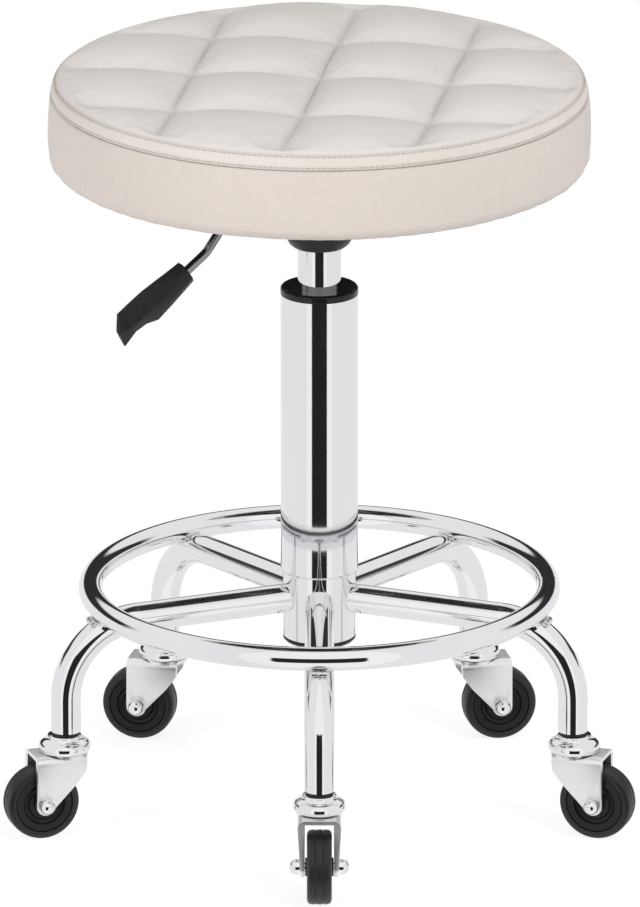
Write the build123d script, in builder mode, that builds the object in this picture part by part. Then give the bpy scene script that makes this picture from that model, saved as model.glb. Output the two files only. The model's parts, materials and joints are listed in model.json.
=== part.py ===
from build123d import *
import os
from math import radians, sqrt, tan

os.makedirs("parts", exist_ok=True)

# A rolling stylist stool. Millimetres, +Z up, origin on the column axis at floor level.
# The first leg points along -Y.

# ---------------------------------------------------------------- sizes
# casters
wheel_diameter = 48.0
wheel_width = 16.0
caster_trail = 17.0
caster_turns = {3: -42.0, 4: 42.0}  # how the rear casters stand swivelled, degrees by leg
tread_depth = 5.0
fork_gauge = 2.5
fork_shoulder_width = 28.5
fork_crown_round = 5.0
fork_side_clearance = 1.5  # wheel face to the fork's cheek, at the axle
fork_head_room = 6.0  # wheel top to the fork's crown
axle_diameter = 6.0
axle_dome_height = 6.4
ball_diameter = 4.0
race_diameter = 33.0
race_height = 10.8
stem_diameter = 11.0
stem_rivet_diameter = 8.0

# base
leg_count = 5
leg_circle_radius = 172.0
leg_tube = 19.0
leg_wall = 2.0
leg_bend_radius = 50.0
spoke_height = 145.0
spoke_slope = 1.5  # degrees down, going outward
ring_inset = 24.0  # ring circle inside the leg circle
ring_tube = 15.5
ring_wall = 1.5
ring_seat_depth = 1.5  # how far the ring is let into each leg
weld_bead = 5.0
sleeve_flange = 2.0
sleeve_depth = 20.0
hub_diameter = 47.0
hub_length = 45.0
hub_above_spoke = 18.0

# column and gas spring
column_diameter = 50.0
column_length = 186.0
column_wall = 1.5
spigot_diameter = 40.0
bush_flange = 5.0
bush_length = 56.0
pressure_tube_diameter = 28.0
pressure_tube_wall = 2.0
rod_diameter = 10.0
stroke = 130.0
seal_length = 16.0
piston_length = 12.0
end_plate_thickness = 5.0
bump_stop_height = 14.0

# seat
seat_diameter = 350.0
seat_depth = 62.0
seat_flat_radius = 100.0
side_height = 47.0  # bottom edge up to the edge band
edge_band_height = 9.0
board_thickness = 12.0
board_inset = 12.0
cover_thickness = 1.5
hem_width = 35.0
cap_gap = 26.5  # column collar to the cap, at the lowest seat position
plate_size = 130.0
plate_gauge = 4.0
bolt_spacing = 100.0
bolt_diameter = 6.0
socket_wall = 4.0
socket_length = 45.0
cap_below_socket = 8.0
cap_wall = 1.6

# lever
lever_angle = 205.0  # where the lever points, degrees from +X
lever_rod = 6.0
lever_pivot_gap = 8.0  # socket to the lever's pin
lever_bend_reach = 52.0
lever_elbow_reach = 80.0
lever_elbow_drop = 39.0
lever_end_reach = 110.0
lever_end_drop = 62.0
lever_bend_radius = 16.0
paddle_reach = 142.3
paddle_drop = 94.5
paddle_thickness = 9.0
button_diameter = 8.0

# clearances
running = 0.06
rolling = 0.08
free = 0.4

# ---------------------------------------------------------------- levels and radii that follow
wheel_radius = wheel_diameter / 2
axle_z = wheel_radius
axle_x = leg_circle_radius + caster_trail
crown_under = wheel_diameter + fork_head_room
crown_top = crown_under + fork_gauge
ball_radius = ball_diameter / 2
race_ball_z = crown_top + free + ball_radius
race_skirt_z = crown_top + 0.7
race_top = race_skirt_z + race_height
leg_end_z = race_top + sleeve_flange
cheek_inner = wheel_width / 2 + fork_side_clearance
cheek_outer = cheek_inner + fork_gauge

leg_radius = leg_tube / 2
spoke_fall = tan(radians(spoke_slope)) * leg_circle_radius
bend_start = leg_circle_radius - leg_bend_radius
bend_z = spoke_height - spoke_fall - leg_bend_radius
sleeve_length = min(sleeve_depth, bend_z - leg_end_z - free)
ring_circle_radius = leg_circle_radius - ring_inset
ring_offset = max(ring_circle_radius - bend_start, 0.0)
leg_crest = bend_z + sqrt((leg_bend_radius + leg_radius) ** 2 - ring_offset**2)
ring_radius = ring_tube / 2
ring_z = leg_crest + ring_radius - ring_seat_depth

hub_top = spoke_height + hub_above_spoke
hub_bottom = hub_top - hub_length
hub_radius = hub_diameter / 2
spigot_radius = spigot_diameter / 2
spigot_bottom = hub_bottom + 4.0
column_radius = column_diameter / 2
column_bore = column_radius - column_wall
spigot_bore = spigot_radius - column_wall
column_top = hub_top + column_length
bush_top = column_top + bush_flange

tube_radius = pressure_tube_diameter / 2
tube_bore = tube_radius - pressure_tube_wall
rod_radius = rod_diameter / 2
end_plate_z = spigot_bottom + 4.0
end_plate_top = end_plate_z + end_plate_thickness
washer_gauge = 1.5
thrust_circle = 10.0
thrust_ball_z = end_plate_top + ball_radius
upper_washer_z = thrust_ball_z + ball_radius + free
shoulder_z = upper_washer_z + washer_gauge
shoulder_height = 2.6
bump_stop_z = shoulder_z + shoulder_height
tube_bottom = bump_stop_z + bump_stop_height + free

cap_bottom = bush_top + cap_gap
socket_bottom = cap_bottom + cap_below_socket
plate_bottom = socket_bottom + socket_length
plate_top = plate_bottom + plate_gauge
seat_bottom = plate_top - cover_thickness
seat_top = seat_bottom + seat_depth
board_top = plate_top + board_thickness
socket_bore = tube_radius
socket_radius = tube_radius + socket_wall
lever_pivot_reach = socket_radius + lever_pivot_gap
tube_top = socket_bottom + 0.58 * socket_length
lever_z = plate_bottom - 8.0
lever_radius = lever_rod / 2
button_top = lever_z - lever_radius - free
piston_z = tube_bottom + seal_length + stroke + 8.0

seat_radius = seat_diameter / 2
foam_radius = seat_radius - cover_thickness
board_radius = seat_radius - board_inset
bottom_round = 8.0
side_top = seat_bottom + side_height
band_top = side_top + edge_band_height
band_lean = 4.5

spokes = list(PolarLocations(0, leg_count, start_angle=-90))
lever_place = Location((0, 0, 0), (0, 0, lever_angle))


def save(piece, label, place=Location()):
    """Write a finished piece, turned into its place, under its own name."""
    with BuildPart() as placed:
        with Locations(place):
            add(piece.part)
    placed.part.label = label
    export_step(placed.part, f"parts/{label}.step")


def save_each(piece, label):
    """Write one copy of a piece for every leg."""
    for number, place in enumerate(spokes, start=1):
        save(piece, f"{label}_{number}", place)


def save_on_casters(piece, label):
    """Write one copy of a caster's piece for every leg, turned about the stem as that caster stands."""
    for number, place in enumerate(spokes, start=1):
        turn = Rot(0, 0, caster_turns.get(number, 0.0))
        swivel = Pos(leg_circle_radius, 0, 0) * turn * Pos(-leg_circle_radius, 0, 0)
        save(piece, f"{label}_{number}", place * swivel)


def save_group(piece, label):
    """Write the copies of a small piece on every leg as one node."""
    with BuildPart() as group:
        with PolarLocations(0, leg_count, start_angle=-90):
            add(piece.part)
    save(group, label)


def turned(points):
    """Turn a closed outline of (radius, height) points about the column axis."""
    with BuildPart() as body:
        with BuildSketch(Plane.XZ):
            with BuildLine():
                Polyline(*points, close=True)
            make_face()
        revolve(axis=Axis.Z)
    return body


def disc(radius, low, high, bore=0.0):
    """A washer or disc on the column axis between two heights."""
    with BuildPart() as body:
        with BuildSketch(Plane.XY.offset(low)):
            Circle(radius)
            if bore:
                Circle(bore, mode=Mode.SUBTRACT)
        extrude(amount=high - low)
    return body


# ---------------------------------------------------------------- base
with BuildPart() as ring_solid:
    with BuildSketch(Plane.XZ):
        with Locations((ring_circle_radius, ring_z)):
            Circle(ring_radius)
    revolve(axis=Axis.Z)

with BuildPart() as foot_ring:
    with BuildSketch(Plane.XZ):
        with Locations((ring_circle_radius, ring_z)):
            Circle(ring_radius)
            Circle(ring_radius - ring_wall, mode=Mode.SUBTRACT)
    revolve(axis=Axis.Z)
save(foot_ring, "foot_ring")

with BuildPart() as hub:
    with BuildSketch(Plane.XY.offset(hub_bottom)):
        Circle(hub_radius)
        Circle(spigot_radius, mode=Mode.SUBTRACT)
    extrude(amount=hub_length)
    fillet(hub.edges().filter_by(GeomType.CIRCLE).group_by(SortBy.RADIUS)[-1], 1.0)
save(hub, "hub")

with BuildPart() as leg:
    with BuildLine(Plane.XZ) as leg_path:
        FilletPolyline(
            (hub_radius - leg_radius, spoke_height),
            (leg_circle_radius, spoke_height - spoke_fall),
            (leg_circle_radius, leg_end_z),
            radius=leg_bend_radius,
        )
    with BuildSketch(Plane(origin=leg_path.line @ 0, z_dir=leg_path.line % 0)):
        Circle(leg_radius)
        Circle(leg_radius - leg_wall, mode=Mode.SUBTRACT)
    sweep(path=leg_path.line)
    with BuildSketch(Plane.XY.offset(hub_bottom - leg_tube)):
        Circle(hub_radius)
    extrude(amount=hub_length + 2 * leg_tube, mode=Mode.SUBTRACT)
    add(ring_solid.part, mode=Mode.SUBTRACT)
save_each(leg, "leg")


def leg_surface(x):
    """Height of the leg's upper surface at a distance from the column axis."""
    past = max(x - bend_start, 0.0)
    return bend_z + sqrt((leg_bend_radius + leg_radius) ** 2 - past**2)


bead_reach = 0.8 * ring_radius
with BuildPart() as weld_pair:
    for side in (-1, 1):
        bead_x = ring_circle_radius + side * bead_reach
        with Locations((bead_x, 0, leg_surface(bead_x) + 0.25 * weld_bead)):
            Cylinder(weld_bead / 2, leg_tube * 0.62, rotation=(90, 0, 0))
    fillet(weld_pair.edges().filter_by(GeomType.CIRCLE), weld_bead * 0.3)
    add(ring_solid.part, mode=Mode.SUBTRACT)
    with BuildLine(Plane.XZ) as weld_path:
        FilletPolyline(
            (hub_radius, spoke_height),
            (leg_circle_radius, spoke_height - spoke_fall),
            (leg_circle_radius, leg_end_z),
            radius=leg_bend_radius,
        )
    with BuildSketch(Plane(origin=weld_path.line @ 0, z_dir=weld_path.line % 0)):
        Circle(leg_radius)
    sweep(path=weld_path.line, mode=Mode.SUBTRACT)
save_group(weld_pair, "ring_welds")

hub_cap_rim = 3.0
hub_cap = turned(
    [
        (0, hub_bottom - hub_cap_rim),
        (hub_radius - 1.5, hub_bottom - hub_cap_rim),
        (hub_radius, hub_bottom - hub_cap_rim + 1.5),
        (hub_radius, hub_bottom),
        (spigot_radius, hub_bottom),
        (spigot_radius, spigot_bottom - 0.5),
        (spigot_radius - 2.0, spigot_bottom - 0.5),
        (spigot_radius - 2.0, hub_bottom),
        (0, hub_bottom),
    ]
)
save(hub_cap, "hub_cap")

column_tube = turned(
    [
        (spigot_radius, spigot_bottom),
        (spigot_radius, hub_top),
        (column_radius - 0.8, hub_top),
        (column_radius, hub_top + 0.8),
        (column_radius, column_top),
        (column_bore, column_top),
        (column_bore, hub_top + column_wall),
        (spigot_bore, hub_top + column_wall),
        (spigot_bore, spigot_bottom),
    ]
)
save(column_tube, "column_tube")

with BuildPart() as column_bush:
    with BuildSketch(Plane.XY.offset(column_top - bush_length)):
        Circle(column_bore)
        Circle(tube_radius + running, mode=Mode.SUBTRACT)
    extrude(amount=bush_length)
    with BuildSketch(Plane.XY.offset(column_top)):
        Circle(column_radius + 0.2)
        Circle(tube_radius + running, mode=Mode.SUBTRACT)
    extrude(amount=bush_flange)
    rim = column_bush.edges().filter_by(GeomType.CIRCLE).group_by(SortBy.RADIUS)[-1]
    fillet(rim.sort_by(Axis.Z)[-1], 1.8)
    fillet(rim.sort_by(Axis.Z)[0], 0.6)
save(column_bush, "column_bush")

end_plate = disc(spigot_bore, end_plate_z, end_plate_top, rod_radius + running)
save(end_plate, "column_end_plate")

with BuildPart() as thrust_balls:
    with Locations((0, 0, thrust_ball_z)):
        with PolarLocations(thrust_circle, 10):
            Sphere(ball_radius)
save(thrust_balls, "thrust_balls")

# ---------------------------------------------------------------- gas spring rod
clip_z = end_plate_z - 2.5
clip_gauge = 1.5
with BuildPart() as piston_rod:
    with BuildSketch(Plane.XY.offset(hub_bottom + 1.0)):
        Circle(rod_radius)
    extrude(amount=piston_z + piston_length - hub_bottom - 1.0)
    with BuildSketch(Plane.XY.offset(shoulder_z)):
        Circle(rod_radius + 2.5)
    extrude(amount=shoulder_height)
    with BuildSketch(Plane.XY.offset(clip_z)):
        Circle(rod_radius)
        Circle(rod_radius - 1.0, mode=Mode.SUBTRACT)
    extrude(amount=clip_gauge, mode=Mode.SUBTRACT)
    chamfer(piston_rod.faces().sort_by(Axis.Z)[0].edges(), 0.8)
save(piston_rod, "piston_rod")

with BuildPart() as rod_clip:
    with BuildSketch(Plane.XY.offset(clip_z)):
        Circle(rod_radius + 3.0)
        Circle(rod_radius - 1.0, mode=Mode.SUBTRACT)
        with Locations((rod_radius + 2.0, 0)):
            Rectangle(rod_diameter, rod_radius, mode=Mode.SUBTRACT)
    extrude(amount=clip_gauge)
save(rod_clip, "rod_clip")

upper_washer = disc(thrust_circle + 3.5, upper_washer_z, shoulder_z, rod_radius)
save(upper_washer, "bearing_upper_washer")
bump_stop = disc(tube_radius - 1.0, bump_stop_z, bump_stop_z + bump_stop_height, rod_radius)
save(bump_stop, "bump_stop")
piston_head = disc(tube_bore - running, piston_z, piston_z + piston_length, rod_radius)
save(piston_head, "piston_head")

# ---------------------------------------------------------------- pressure tube
tube_cap = 8.0
button_hole = button_diameter / 2 + running
pressure_tube = turned(
    [
        (tube_radius, tube_bottom),
        (tube_radius, tube_top - 1.0),
        (tube_radius - 1.0, tube_top),
        (button_hole, tube_top),
        (button_hole, tube_top - tube_cap),
        (tube_bore, tube_top - tube_cap),
        (tube_bore, tube_bottom),
    ]
)
save(pressure_tube, "pressure_tube")
rod_seal = disc(tube_bore, tube_bottom, tube_bottom + seal_length, rod_radius + running)
save(rod_seal, "rod_seal")

with BuildPart() as valve_button:
    with BuildSketch(Plane.XY.offset(tube_top - tube_cap - 6.0)):
        Circle(button_diameter / 2)
    extrude(amount=button_top - tube_top + tube_cap + 6.0)
    fillet(valve_button.faces().sort_by(Axis.Z)[-1].edges(), 1.2)
save(valve_button, "valve_button")

# ---------------------------------------------------------------- seat mechanism
slot_half_height = lever_radius + 3.5
with BuildPart() as mechanism_plate:
    with BuildSketch(Plane.XY.offset(plate_bottom)):
        RectangleRounded(plate_size, plate_size, 12.0)
        with GridLocations(bolt_spacing, bolt_spacing, 2, 2):
            Circle(bolt_diameter / 2 + 0.3, mode=Mode.SUBTRACT)
    extrude(amount=plate_gauge)
    with BuildSketch(Plane.XY.offset(socket_bottom)):
        Circle(socket_radius)
    extrude(amount=socket_length)
    with BuildSketch(Plane.XY.offset(socket_bottom)):
        Circle(socket_bore)
    extrude(amount=socket_length, mode=Mode.SUBTRACT)
    with Locations(lever_place * Pos(socket_radius, 0, lever_z)):
        Box(2 * socket_wall + 8.0, lever_rod + 3.0, 2 * slot_half_height, mode=Mode.SUBTRACT)
save(mechanism_plate, "mechanism_plate")

cap_outline = [
    (tube_radius + 0.3, cap_bottom),
    (tube_radius + 3.2, cap_bottom + 0.8),
    (tube_radius + 5.7, cap_bottom + 3.0),
    (tube_radius + 7.6, cap_bottom + 6.6),
    (tube_radius + 9.2, cap_bottom + 11.5),
    (socket_radius + 22.0, plate_bottom - 17.0),
    (socket_radius + 22.0, plate_bottom),
]
cap_inside = [(r - cap_wall, z + (0 if z == plate_bottom else cap_wall)) for r, z in cap_outline[1:]]
mechanism_cap = turned(cap_outline + cap_inside[::-1] + [(tube_radius + 0.3, cap_bottom + cap_wall)])
with mechanism_cap:
    with Locations(lever_place * Pos(socket_radius + 20.0, 0, plate_bottom - 9.0)):
        Box(20.0, lever_rod + 6.0, 18.0, mode=Mode.SUBTRACT)
save(mechanism_cap, "mechanism_cap")

ear_gap = lever_radius + free
ear_gauge = 2.0
ear_length = 12.0
with BuildPart() as lever_bracket:
    with BuildSketch(Plane.YZ.offset(lever_pivot_reach - ear_length / 2)):
        with Locations((0, (plate_bottom + lever_z - 6.0) / 2)):
            Rectangle(2 * (ear_gap + ear_gauge), plate_bottom - lever_z + 6.0)
        with Locations((0, (plate_bottom - ear_gauge + lever_z - 6.0) / 2)):
            Rectangle(2 * ear_gap, plate_bottom - ear_gauge - lever_z + 6.0, mode=Mode.SUBTRACT)
    extrude(amount=ear_length)
    with Locations((lever_pivot_reach, 0, lever_z)):
        Cylinder(1.5, 2 * (ear_gap + ear_gauge) + 1.0, rotation=(90, 0, 0), mode=Mode.SUBTRACT)
save(lever_bracket, "lever_bracket", lever_place)

with BuildPart() as lever_pin:
    with Locations((lever_pivot_reach, 0, lever_z)):
        Cylinder(1.5, 2 * (ear_gap + ear_gauge) + 1.6, rotation=(90, 0, 0))
save(lever_pin, "lever_pin", lever_place)

# ---------------------------------------------------------------- lever
with BuildPart() as lever:
    with BuildLine(Plane.XZ) as lever_path:
        FilletPolyline(
            (-button_diameter / 2, lever_z),
            (lever_bend_reach, lever_z),
            (lever_elbow_reach, lever_z - lever_elbow_drop),
            (lever_end_reach, lever_z - lever_end_drop),
            radius=lever_bend_radius,
        )
    with BuildSketch(Plane(origin=lever_path.line @ 0, z_dir=lever_path.line % 0)):
        Circle(lever_radius)
    sweep(path=lever_path.line)
    with Locations((lever_pivot_reach, 0, lever_z)):
        Cylinder(1.5 + running, 2 * lever_rod, rotation=(90, 0, 0), mode=Mode.SUBTRACT)
save(lever, "lever_rod", lever_place)

# the paddle's outline, as reach and drop from its far lower corner
paddle_low = lever_z - paddle_drop
with BuildPart() as paddle:
    with BuildSketch(Plane.XZ.offset(-paddle_thickness / 2)):
        with BuildLine():
            Polyline(
                (paddle_reach - 44.9, paddle_low + 50.8),
                (paddle_reach - 18.6, paddle_low + 35.8),
                (paddle_reach - 0.3, paddle_low + 22.3),
                (paddle_reach, paddle_low + 9.8),
                (paddle_reach - 5.4, paddle_low),
            )
            ThreePointArc(
                (paddle_reach - 5.4, paddle_low),
                (paddle_reach - 15.4, paddle_low + 11.8),
                (paddle_reach - 29.1, paddle_low + 15.3),
            )
            Polyline(
                (paddle_reach - 29.1, paddle_low + 15.3),
                (paddle_reach - 53.1, paddle_low + 38.9),
                (paddle_reach - 44.9, paddle_low + 50.8),
            )
        make_face()
    extrude(amount=paddle_thickness)
    fillet(paddle.edges().group_by(Axis.Y)[0] + paddle.edges().group_by(Axis.Y)[-1], 1.6)
    with BuildSketch(Plane(origin=lever_path.line @ 1, z_dir=lever_path.line % 1)):
        Circle(lever_radius)
    extrude(amount=-4 * lever_rod, mode=Mode.SUBTRACT)
save(paddle, "lever_paddle", lever_place)

# ---------------------------------------------------------------- seat fastenings
nut_barrel = bolt_diameter / 2 + 1.0
nut_flange = 1.2
bolt_flange = 1.2
bolt_head = 4.0
head_z = plate_bottom - bolt_flange
with BuildPart() as mount_bolts:
    with BuildSketch(Plane.XY.offset(head_z)):
        with GridLocations(bolt_spacing, bolt_spacing, 2, 2):
            Circle(bolt_diameter / 2)
    extrude(amount=board_top - head_z - 1.0)
    with BuildSketch(Plane.XY.offset(head_z)):
        with GridLocations(bolt_spacing, bolt_spacing, 2, 2):
            Circle(bolt_diameter + 1.0)
    extrude(amount=bolt_flange)
    with BuildSketch(Plane.XY.offset(head_z - bolt_head)):
        with GridLocations(bolt_spacing, bolt_spacing, 2, 2):
            RegularPolygon(bolt_diameter * 0.92, 6)
    extrude(amount=bolt_head)
save(mount_bolts, "mount_bolts")

with BuildPart() as tee_nuts:
    with BuildSketch(Plane.XY.offset(plate_top + 1.0)):
        with GridLocations(bolt_spacing, bolt_spacing, 2, 2):
            Circle(nut_barrel)
    extrude(amount=board_thickness - 1.0)
    with BuildSketch(Plane.XY.offset(board_top)):
        with GridLocations(bolt_spacing, bolt_spacing, 2, 2):
            Circle(bolt_diameter * 1.5)
    extrude(amount=nut_flange)
    with BuildSketch(Plane.XY.offset(plate_top)):
        with GridLocations(bolt_spacing, bolt_spacing, 2, 2):
            Circle(bolt_diameter / 2)
    extrude(amount=board_thickness + 2 * nut_flange, mode=Mode.SUBTRACT)
save(tee_nuts, "tee_nuts")

with BuildPart() as seat_board:
    with BuildSketch(Plane.XY.offset(plate_top)):
        Circle(board_radius)
        with GridLocations(bolt_spacing, bolt_spacing, 2, 2):
            Circle(nut_barrel, mode=Mode.SUBTRACT)
    extrude(amount=board_thickness)
save(seat_board, "seat_board")

# ---------------------------------------------------------------- upholstery
band_in = seat_radius - band_lean
crown_edge = (band_in, band_top)
crown_mid = (0.5 * (seat_flat_radius + band_in), seat_top - 0.27 * (seat_top - band_top))
with BuildPart() as top_cover:
    with BuildSketch(Plane.XZ):
        with BuildLine():
            Polyline((0, seat_top - cover_thickness), (0, seat_top), (seat_flat_radius, seat_top))
            ThreePointArc((seat_flat_radius, seat_top), crown_mid, crown_edge)
            Line(crown_edge, (band_in - cover_thickness, band_top))
            ThreePointArc(
                (band_in - cover_thickness, band_top),
                (crown_mid[0] - 0.5, crown_mid[1] - cover_thickness),
                (seat_flat_radius, seat_top - cover_thickness),
            )
            Line((seat_flat_radius, seat_top - cover_thickness), (0, seat_top - cover_thickness))
        make_face()
    revolve(axis=Axis.Z)
save(top_cover, "top_cover")

edge_band = turned(
    [
        (seat_radius, side_top),
        (band_in, band_top),
        (band_in - cover_thickness, band_top),
        (foam_radius, side_top),
    ]
)
save(edge_band, "edge_band")

round_centre = seat_radius - bottom_round
inner_round = bottom_round - cover_thickness
round_z = seat_bottom + bottom_round
corner = sqrt(0.5)
with BuildPart() as side_cover:
    with BuildSketch(Plane.XZ):
        with BuildLine():
            Line((seat_radius, side_top), (seat_radius, round_z))
            ThreePointArc(
                (seat_radius, round_z),
                (round_centre + bottom_round * corner, round_z - bottom_round * corner),
                (round_centre, seat_bottom),
            )
            Polyline(
                (round_centre, seat_bottom),
                (seat_radius - hem_width, seat_bottom),
                (seat_radius - hem_width, plate_top),
                (round_centre, plate_top),
            )
            ThreePointArc(
                (round_centre, plate_top),
                (round_centre + inner_round * corner, round_z - inner_round * corner),
                (foam_radius, round_z),
            )
            Polyline((foam_radius, round_z), (foam_radius, side_top), (seat_radius, side_top))
        make_face()
    revolve(axis=Axis.Z)
save(side_cover, "side_cover")

with BuildPart() as seat_foam:
    with BuildSketch(Plane.XZ):
        with BuildLine():
            Polyline(
                (0, seat_top - cover_thickness),
                (0, board_top),
                (board_radius, board_top),
                (board_radius, plate_top),
                (round_centre, plate_top),
            )
            ThreePointArc(
                (round_centre, plate_top),
                (round_centre + inner_round * corner, round_z - inner_round * corner),
                (foam_radius, round_z),
            )
            Polyline((foam_radius, round_z), (foam_radius, side_top), (band_in - cover_thickness, band_top))
            ThreePointArc(
                (band_in - cover_thickness, band_top),
                (crown_mid[0] - 0.5, crown_mid[1] - cover_thickness),
                (seat_flat_radius, seat_top - cover_thickness),
            )
            Line((seat_flat_radius, seat_top - cover_thickness), (0, seat_top - cover_thickness))
        make_face()
    revolve(axis=Axis.Z)
    with BuildSketch(Plane.XY.offset(board_top)):
        with GridLocations(bolt_spacing, bolt_spacing, 2, 2):
            Circle(bolt_diameter * 1.5)
    extrude(amount=nut_flange, mode=Mode.SUBTRACT)
save(seat_foam, "seat_foam")

cloth = 0.8
cloth_hole = plate_size + 4.0
cloth_outer = seat_radius - hem_width + 12.0
with BuildPart() as dust_cover:
    with BuildSketch(Plane.XY.offset(seat_bottom - cloth)):
        Circle(cloth_outer)
        RectangleRounded(cloth_hole, cloth_hole, 6.0, mode=Mode.SUBTRACT)
    extrude(amount=cloth)
save(dust_cover, "dust_cover")

staple_count = 24
with BuildPart() as staples:
    with Locations((0, 0, seat_bottom - cloth - 0.3)):
        with PolarLocations(cloth_outer - 6.0, staple_count):
            Box(1.2, 10.0, 0.6)
save(staples, "staples")

# ---------------------------------------------------------------- casters
boss_radius = axle_diameter
tread_inner = wheel_radius - tread_depth
with BuildPart() as wheel_core:
    with BuildSketch(Plane.XZ.offset(-wheel_width / 2)):
        with Locations((axle_x, axle_z)):
            Circle(tread_inner)
    extrude(amount=wheel_width)
    chamfer(wheel_core.edges().filter_by(GeomType.CIRCLE), 0.8)
    for face_side in (-1, 1):
        with Locations((axle_x, face_side * wheel_width / 2, axle_z)):
            with Locations(Rotation(90, 0, 0)):
                Torus(0.62 * tread_inner, 2.0, mode=Mode.SUBTRACT)
    with Locations((axle_x, 0, axle_z)):
        Cylinder(boss_radius, 2 * (cheek_inner - free), rotation=(90, 0, 0))
        Cylinder(axle_diameter / 2 + rolling, 4 * wheel_width, rotation=(90, 0, 0), mode=Mode.SUBTRACT)
save_on_casters(wheel_core, "wheel_core")

with BuildPart() as tread:
    with BuildSketch(Plane.XZ.offset(-wheel_width / 2)):
        with Locations((axle_x, axle_z)):
            Circle(wheel_radius)
    extrude(amount=wheel_width)
    fillet(tread.edges().filter_by(GeomType.CIRCLE), 2.6)
    with BuildSketch(Plane.XZ.offset(-wheel_width / 2)):
        with Locations((axle_x, axle_z)):
            Circle(tread_inner)
    extrude(amount=wheel_width, mode=Mode.SUBTRACT)
save_on_casters(tread, "tread")

tip_radius = 6.5
cheek_back = -10.5
cheek_front = caster_trail + tip_radius - 0.5
shoulder = fork_shoulder_width / 2
arch = wheel_width / 2 + 1.2
tip_z = axle_z - tip_radius
fork_end = Plane.YZ.offset(leg_circle_radius + cheek_back - tip_radius)
with BuildPart() as fork:
    with BuildSketch(fork_end):
        with BuildLine():
            Polyline(
                (-cheek_outer, tip_z),
                (-shoulder, crown_top),
                (shoulder, crown_top),
                (cheek_outer, tip_z),
                close=True,
            )
        make_face()
    extrude(amount=wheel_diameter)
    fillet(fork.edges().filter_by(Axis.X).sort_by(Axis.Z)[-2:], fork_crown_round)
    with BuildSketch(fork_end):
        with BuildLine():
            Polyline(
                (-cheek_inner, tip_z),
                (-arch, crown_under),
                (arch, crown_under),
                (cheek_inner, tip_z),
                close=True,
            )
        make_face()
    extrude(amount=wheel_diameter, mode=Mode.SUBTRACT)
    with BuildSketch(Plane.XZ.offset(-shoulder)):
        with BuildLine():
            Polyline(
                (leg_circle_radius + cheek_back, crown_top),
                (leg_circle_radius + cheek_back + 0.8, crown_under - 8.0),
                (leg_circle_radius + cheek_back + 7.5, axle_z + 13.0),
                (axle_x - tip_radius * 0.97, axle_z - tip_radius * 0.24),
            )
            ThreePointArc(
                (axle_x - tip_radius * 0.97, axle_z - tip_radius * 0.24),
                (axle_x, axle_z - tip_radius),
                (axle_x + tip_radius, axle_z),
            )
            Polyline(
                (axle_x + tip_radius, axle_z),
                (leg_circle_radius + cheek_front, crown_top),
                (leg_circle_radius + cheek_back, crown_top),
            )
        make_face()
    extrude(amount=2 * shoulder, mode=Mode.INTERSECT)
    with BuildSketch(Plane.XY.offset(crown_under)):
        with Locations((leg_circle_radius, 0)):
            Circle(shoulder)
    extrude(amount=fork_gauge)
    with BuildSketch(Plane.XY.offset(crown_under)):
        with Locations((leg_circle_radius, 0)):
            Circle(stem_rivet_diameter / 2 + rolling)
    extrude(amount=fork_gauge, mode=Mode.SUBTRACT)
    with Locations((axle_x, 0, axle_z)):
        Cylinder(axle_diameter / 2, 3 * cheek_outer, rotation=(90, 0, 0), mode=Mode.SUBTRACT)
save_on_casters(fork, "fork")

dome_radius = axle_diameter * 0.82
cheek_lean = (shoulder - cheek_outer) * (axle_z + dome_radius - tip_z) / (crown_top - tip_z)
dome_start = cheek_outer + cheek_lean
with BuildPart() as axle:
    with Locations((axle_x, 0, axle_z)):
        Cylinder(axle_diameter / 2, 2 * dome_start, rotation=(90, 0, 0))
    for end in (-1, 1):
        with Locations((axle_x, end * (dome_start + axle_dome_height / 2), axle_z)):
            Cylinder(dome_radius, axle_dome_height, rotation=(90, 0, 0))
    rims = axle.edges().filter_by(GeomType.CIRCLE).sort_by(Axis.Y)
    fillet([rims[0], rims[-1]], axle_dome_height * 0.7)
save_on_casters(axle, "axle")

cup_in = leg_circle_radius + stem_diameter / 2
cup_out = leg_circle_radius + race_diameter / 2
cup_lip = leg_circle_radius + leg_radius + 0.8
skirt = 1.6
with BuildPart() as race_cup:
    with BuildSketch(Plane.XZ):
        with BuildLine():
            Polyline(
                (cup_in, race_ball_z + 1.0),
                (cup_out - skirt, race_ball_z + 1.0),
                (cup_out - skirt, race_skirt_z),
                (cup_out, race_skirt_z),
                (cup_out, race_skirt_z + 3.4),
            )
            Spline(
                (cup_out, race_skirt_z + 3.4),
                (cup_out - 2.0, race_skirt_z + 6.2),
                (cup_lip, race_top),
                tangents=((0, 1), (-1, 0.25)),
            )
            Polyline((cup_lip, race_top), (cup_in, race_top), (cup_in, race_ball_z + 1.0))
        make_face()
    revolve(axis=Axis((leg_circle_radius, 0, 0), (0, 0, 1)))
    with Locations((leg_circle_radius, 0, race_ball_z)):
        Torus(race_diameter / 3, ball_radius, mode=Mode.SUBTRACT)
save_group(race_cup, "race_cups")

with BuildPart() as race_ball_ring:
    with Locations((leg_circle_radius, 0, race_ball_z)):
        with PolarLocations(race_diameter / 3, 12):
            Sphere(ball_radius)
save_group(race_ball_ring, "race_balls")

with BuildPart() as caster_stem:
    with BuildSketch(Plane.XY.offset(race_ball_z + 1.0)):
        with Locations((leg_circle_radius, 0)):
            Circle(stem_diameter / 2)
    extrude(amount=leg_end_z + sleeve_length - race_ball_z - 2.0)
    with BuildSketch(Plane.XY.offset(crown_under - free)):
        with Locations((leg_circle_radius, 0)):
            Circle(stem_rivet_diameter / 2)
    extrude(amount=race_ball_z + 1.0 - crown_under + free)
    with BuildSketch(Plane.XY.offset(crown_under - free - 2.0)):
        with Locations((leg_circle_radius, 0)):
            Circle(stem_rivet_diameter / 2 + 2.5)
    extrude(amount=2.0)
save_group(caster_stem, "caster_stems")

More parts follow.
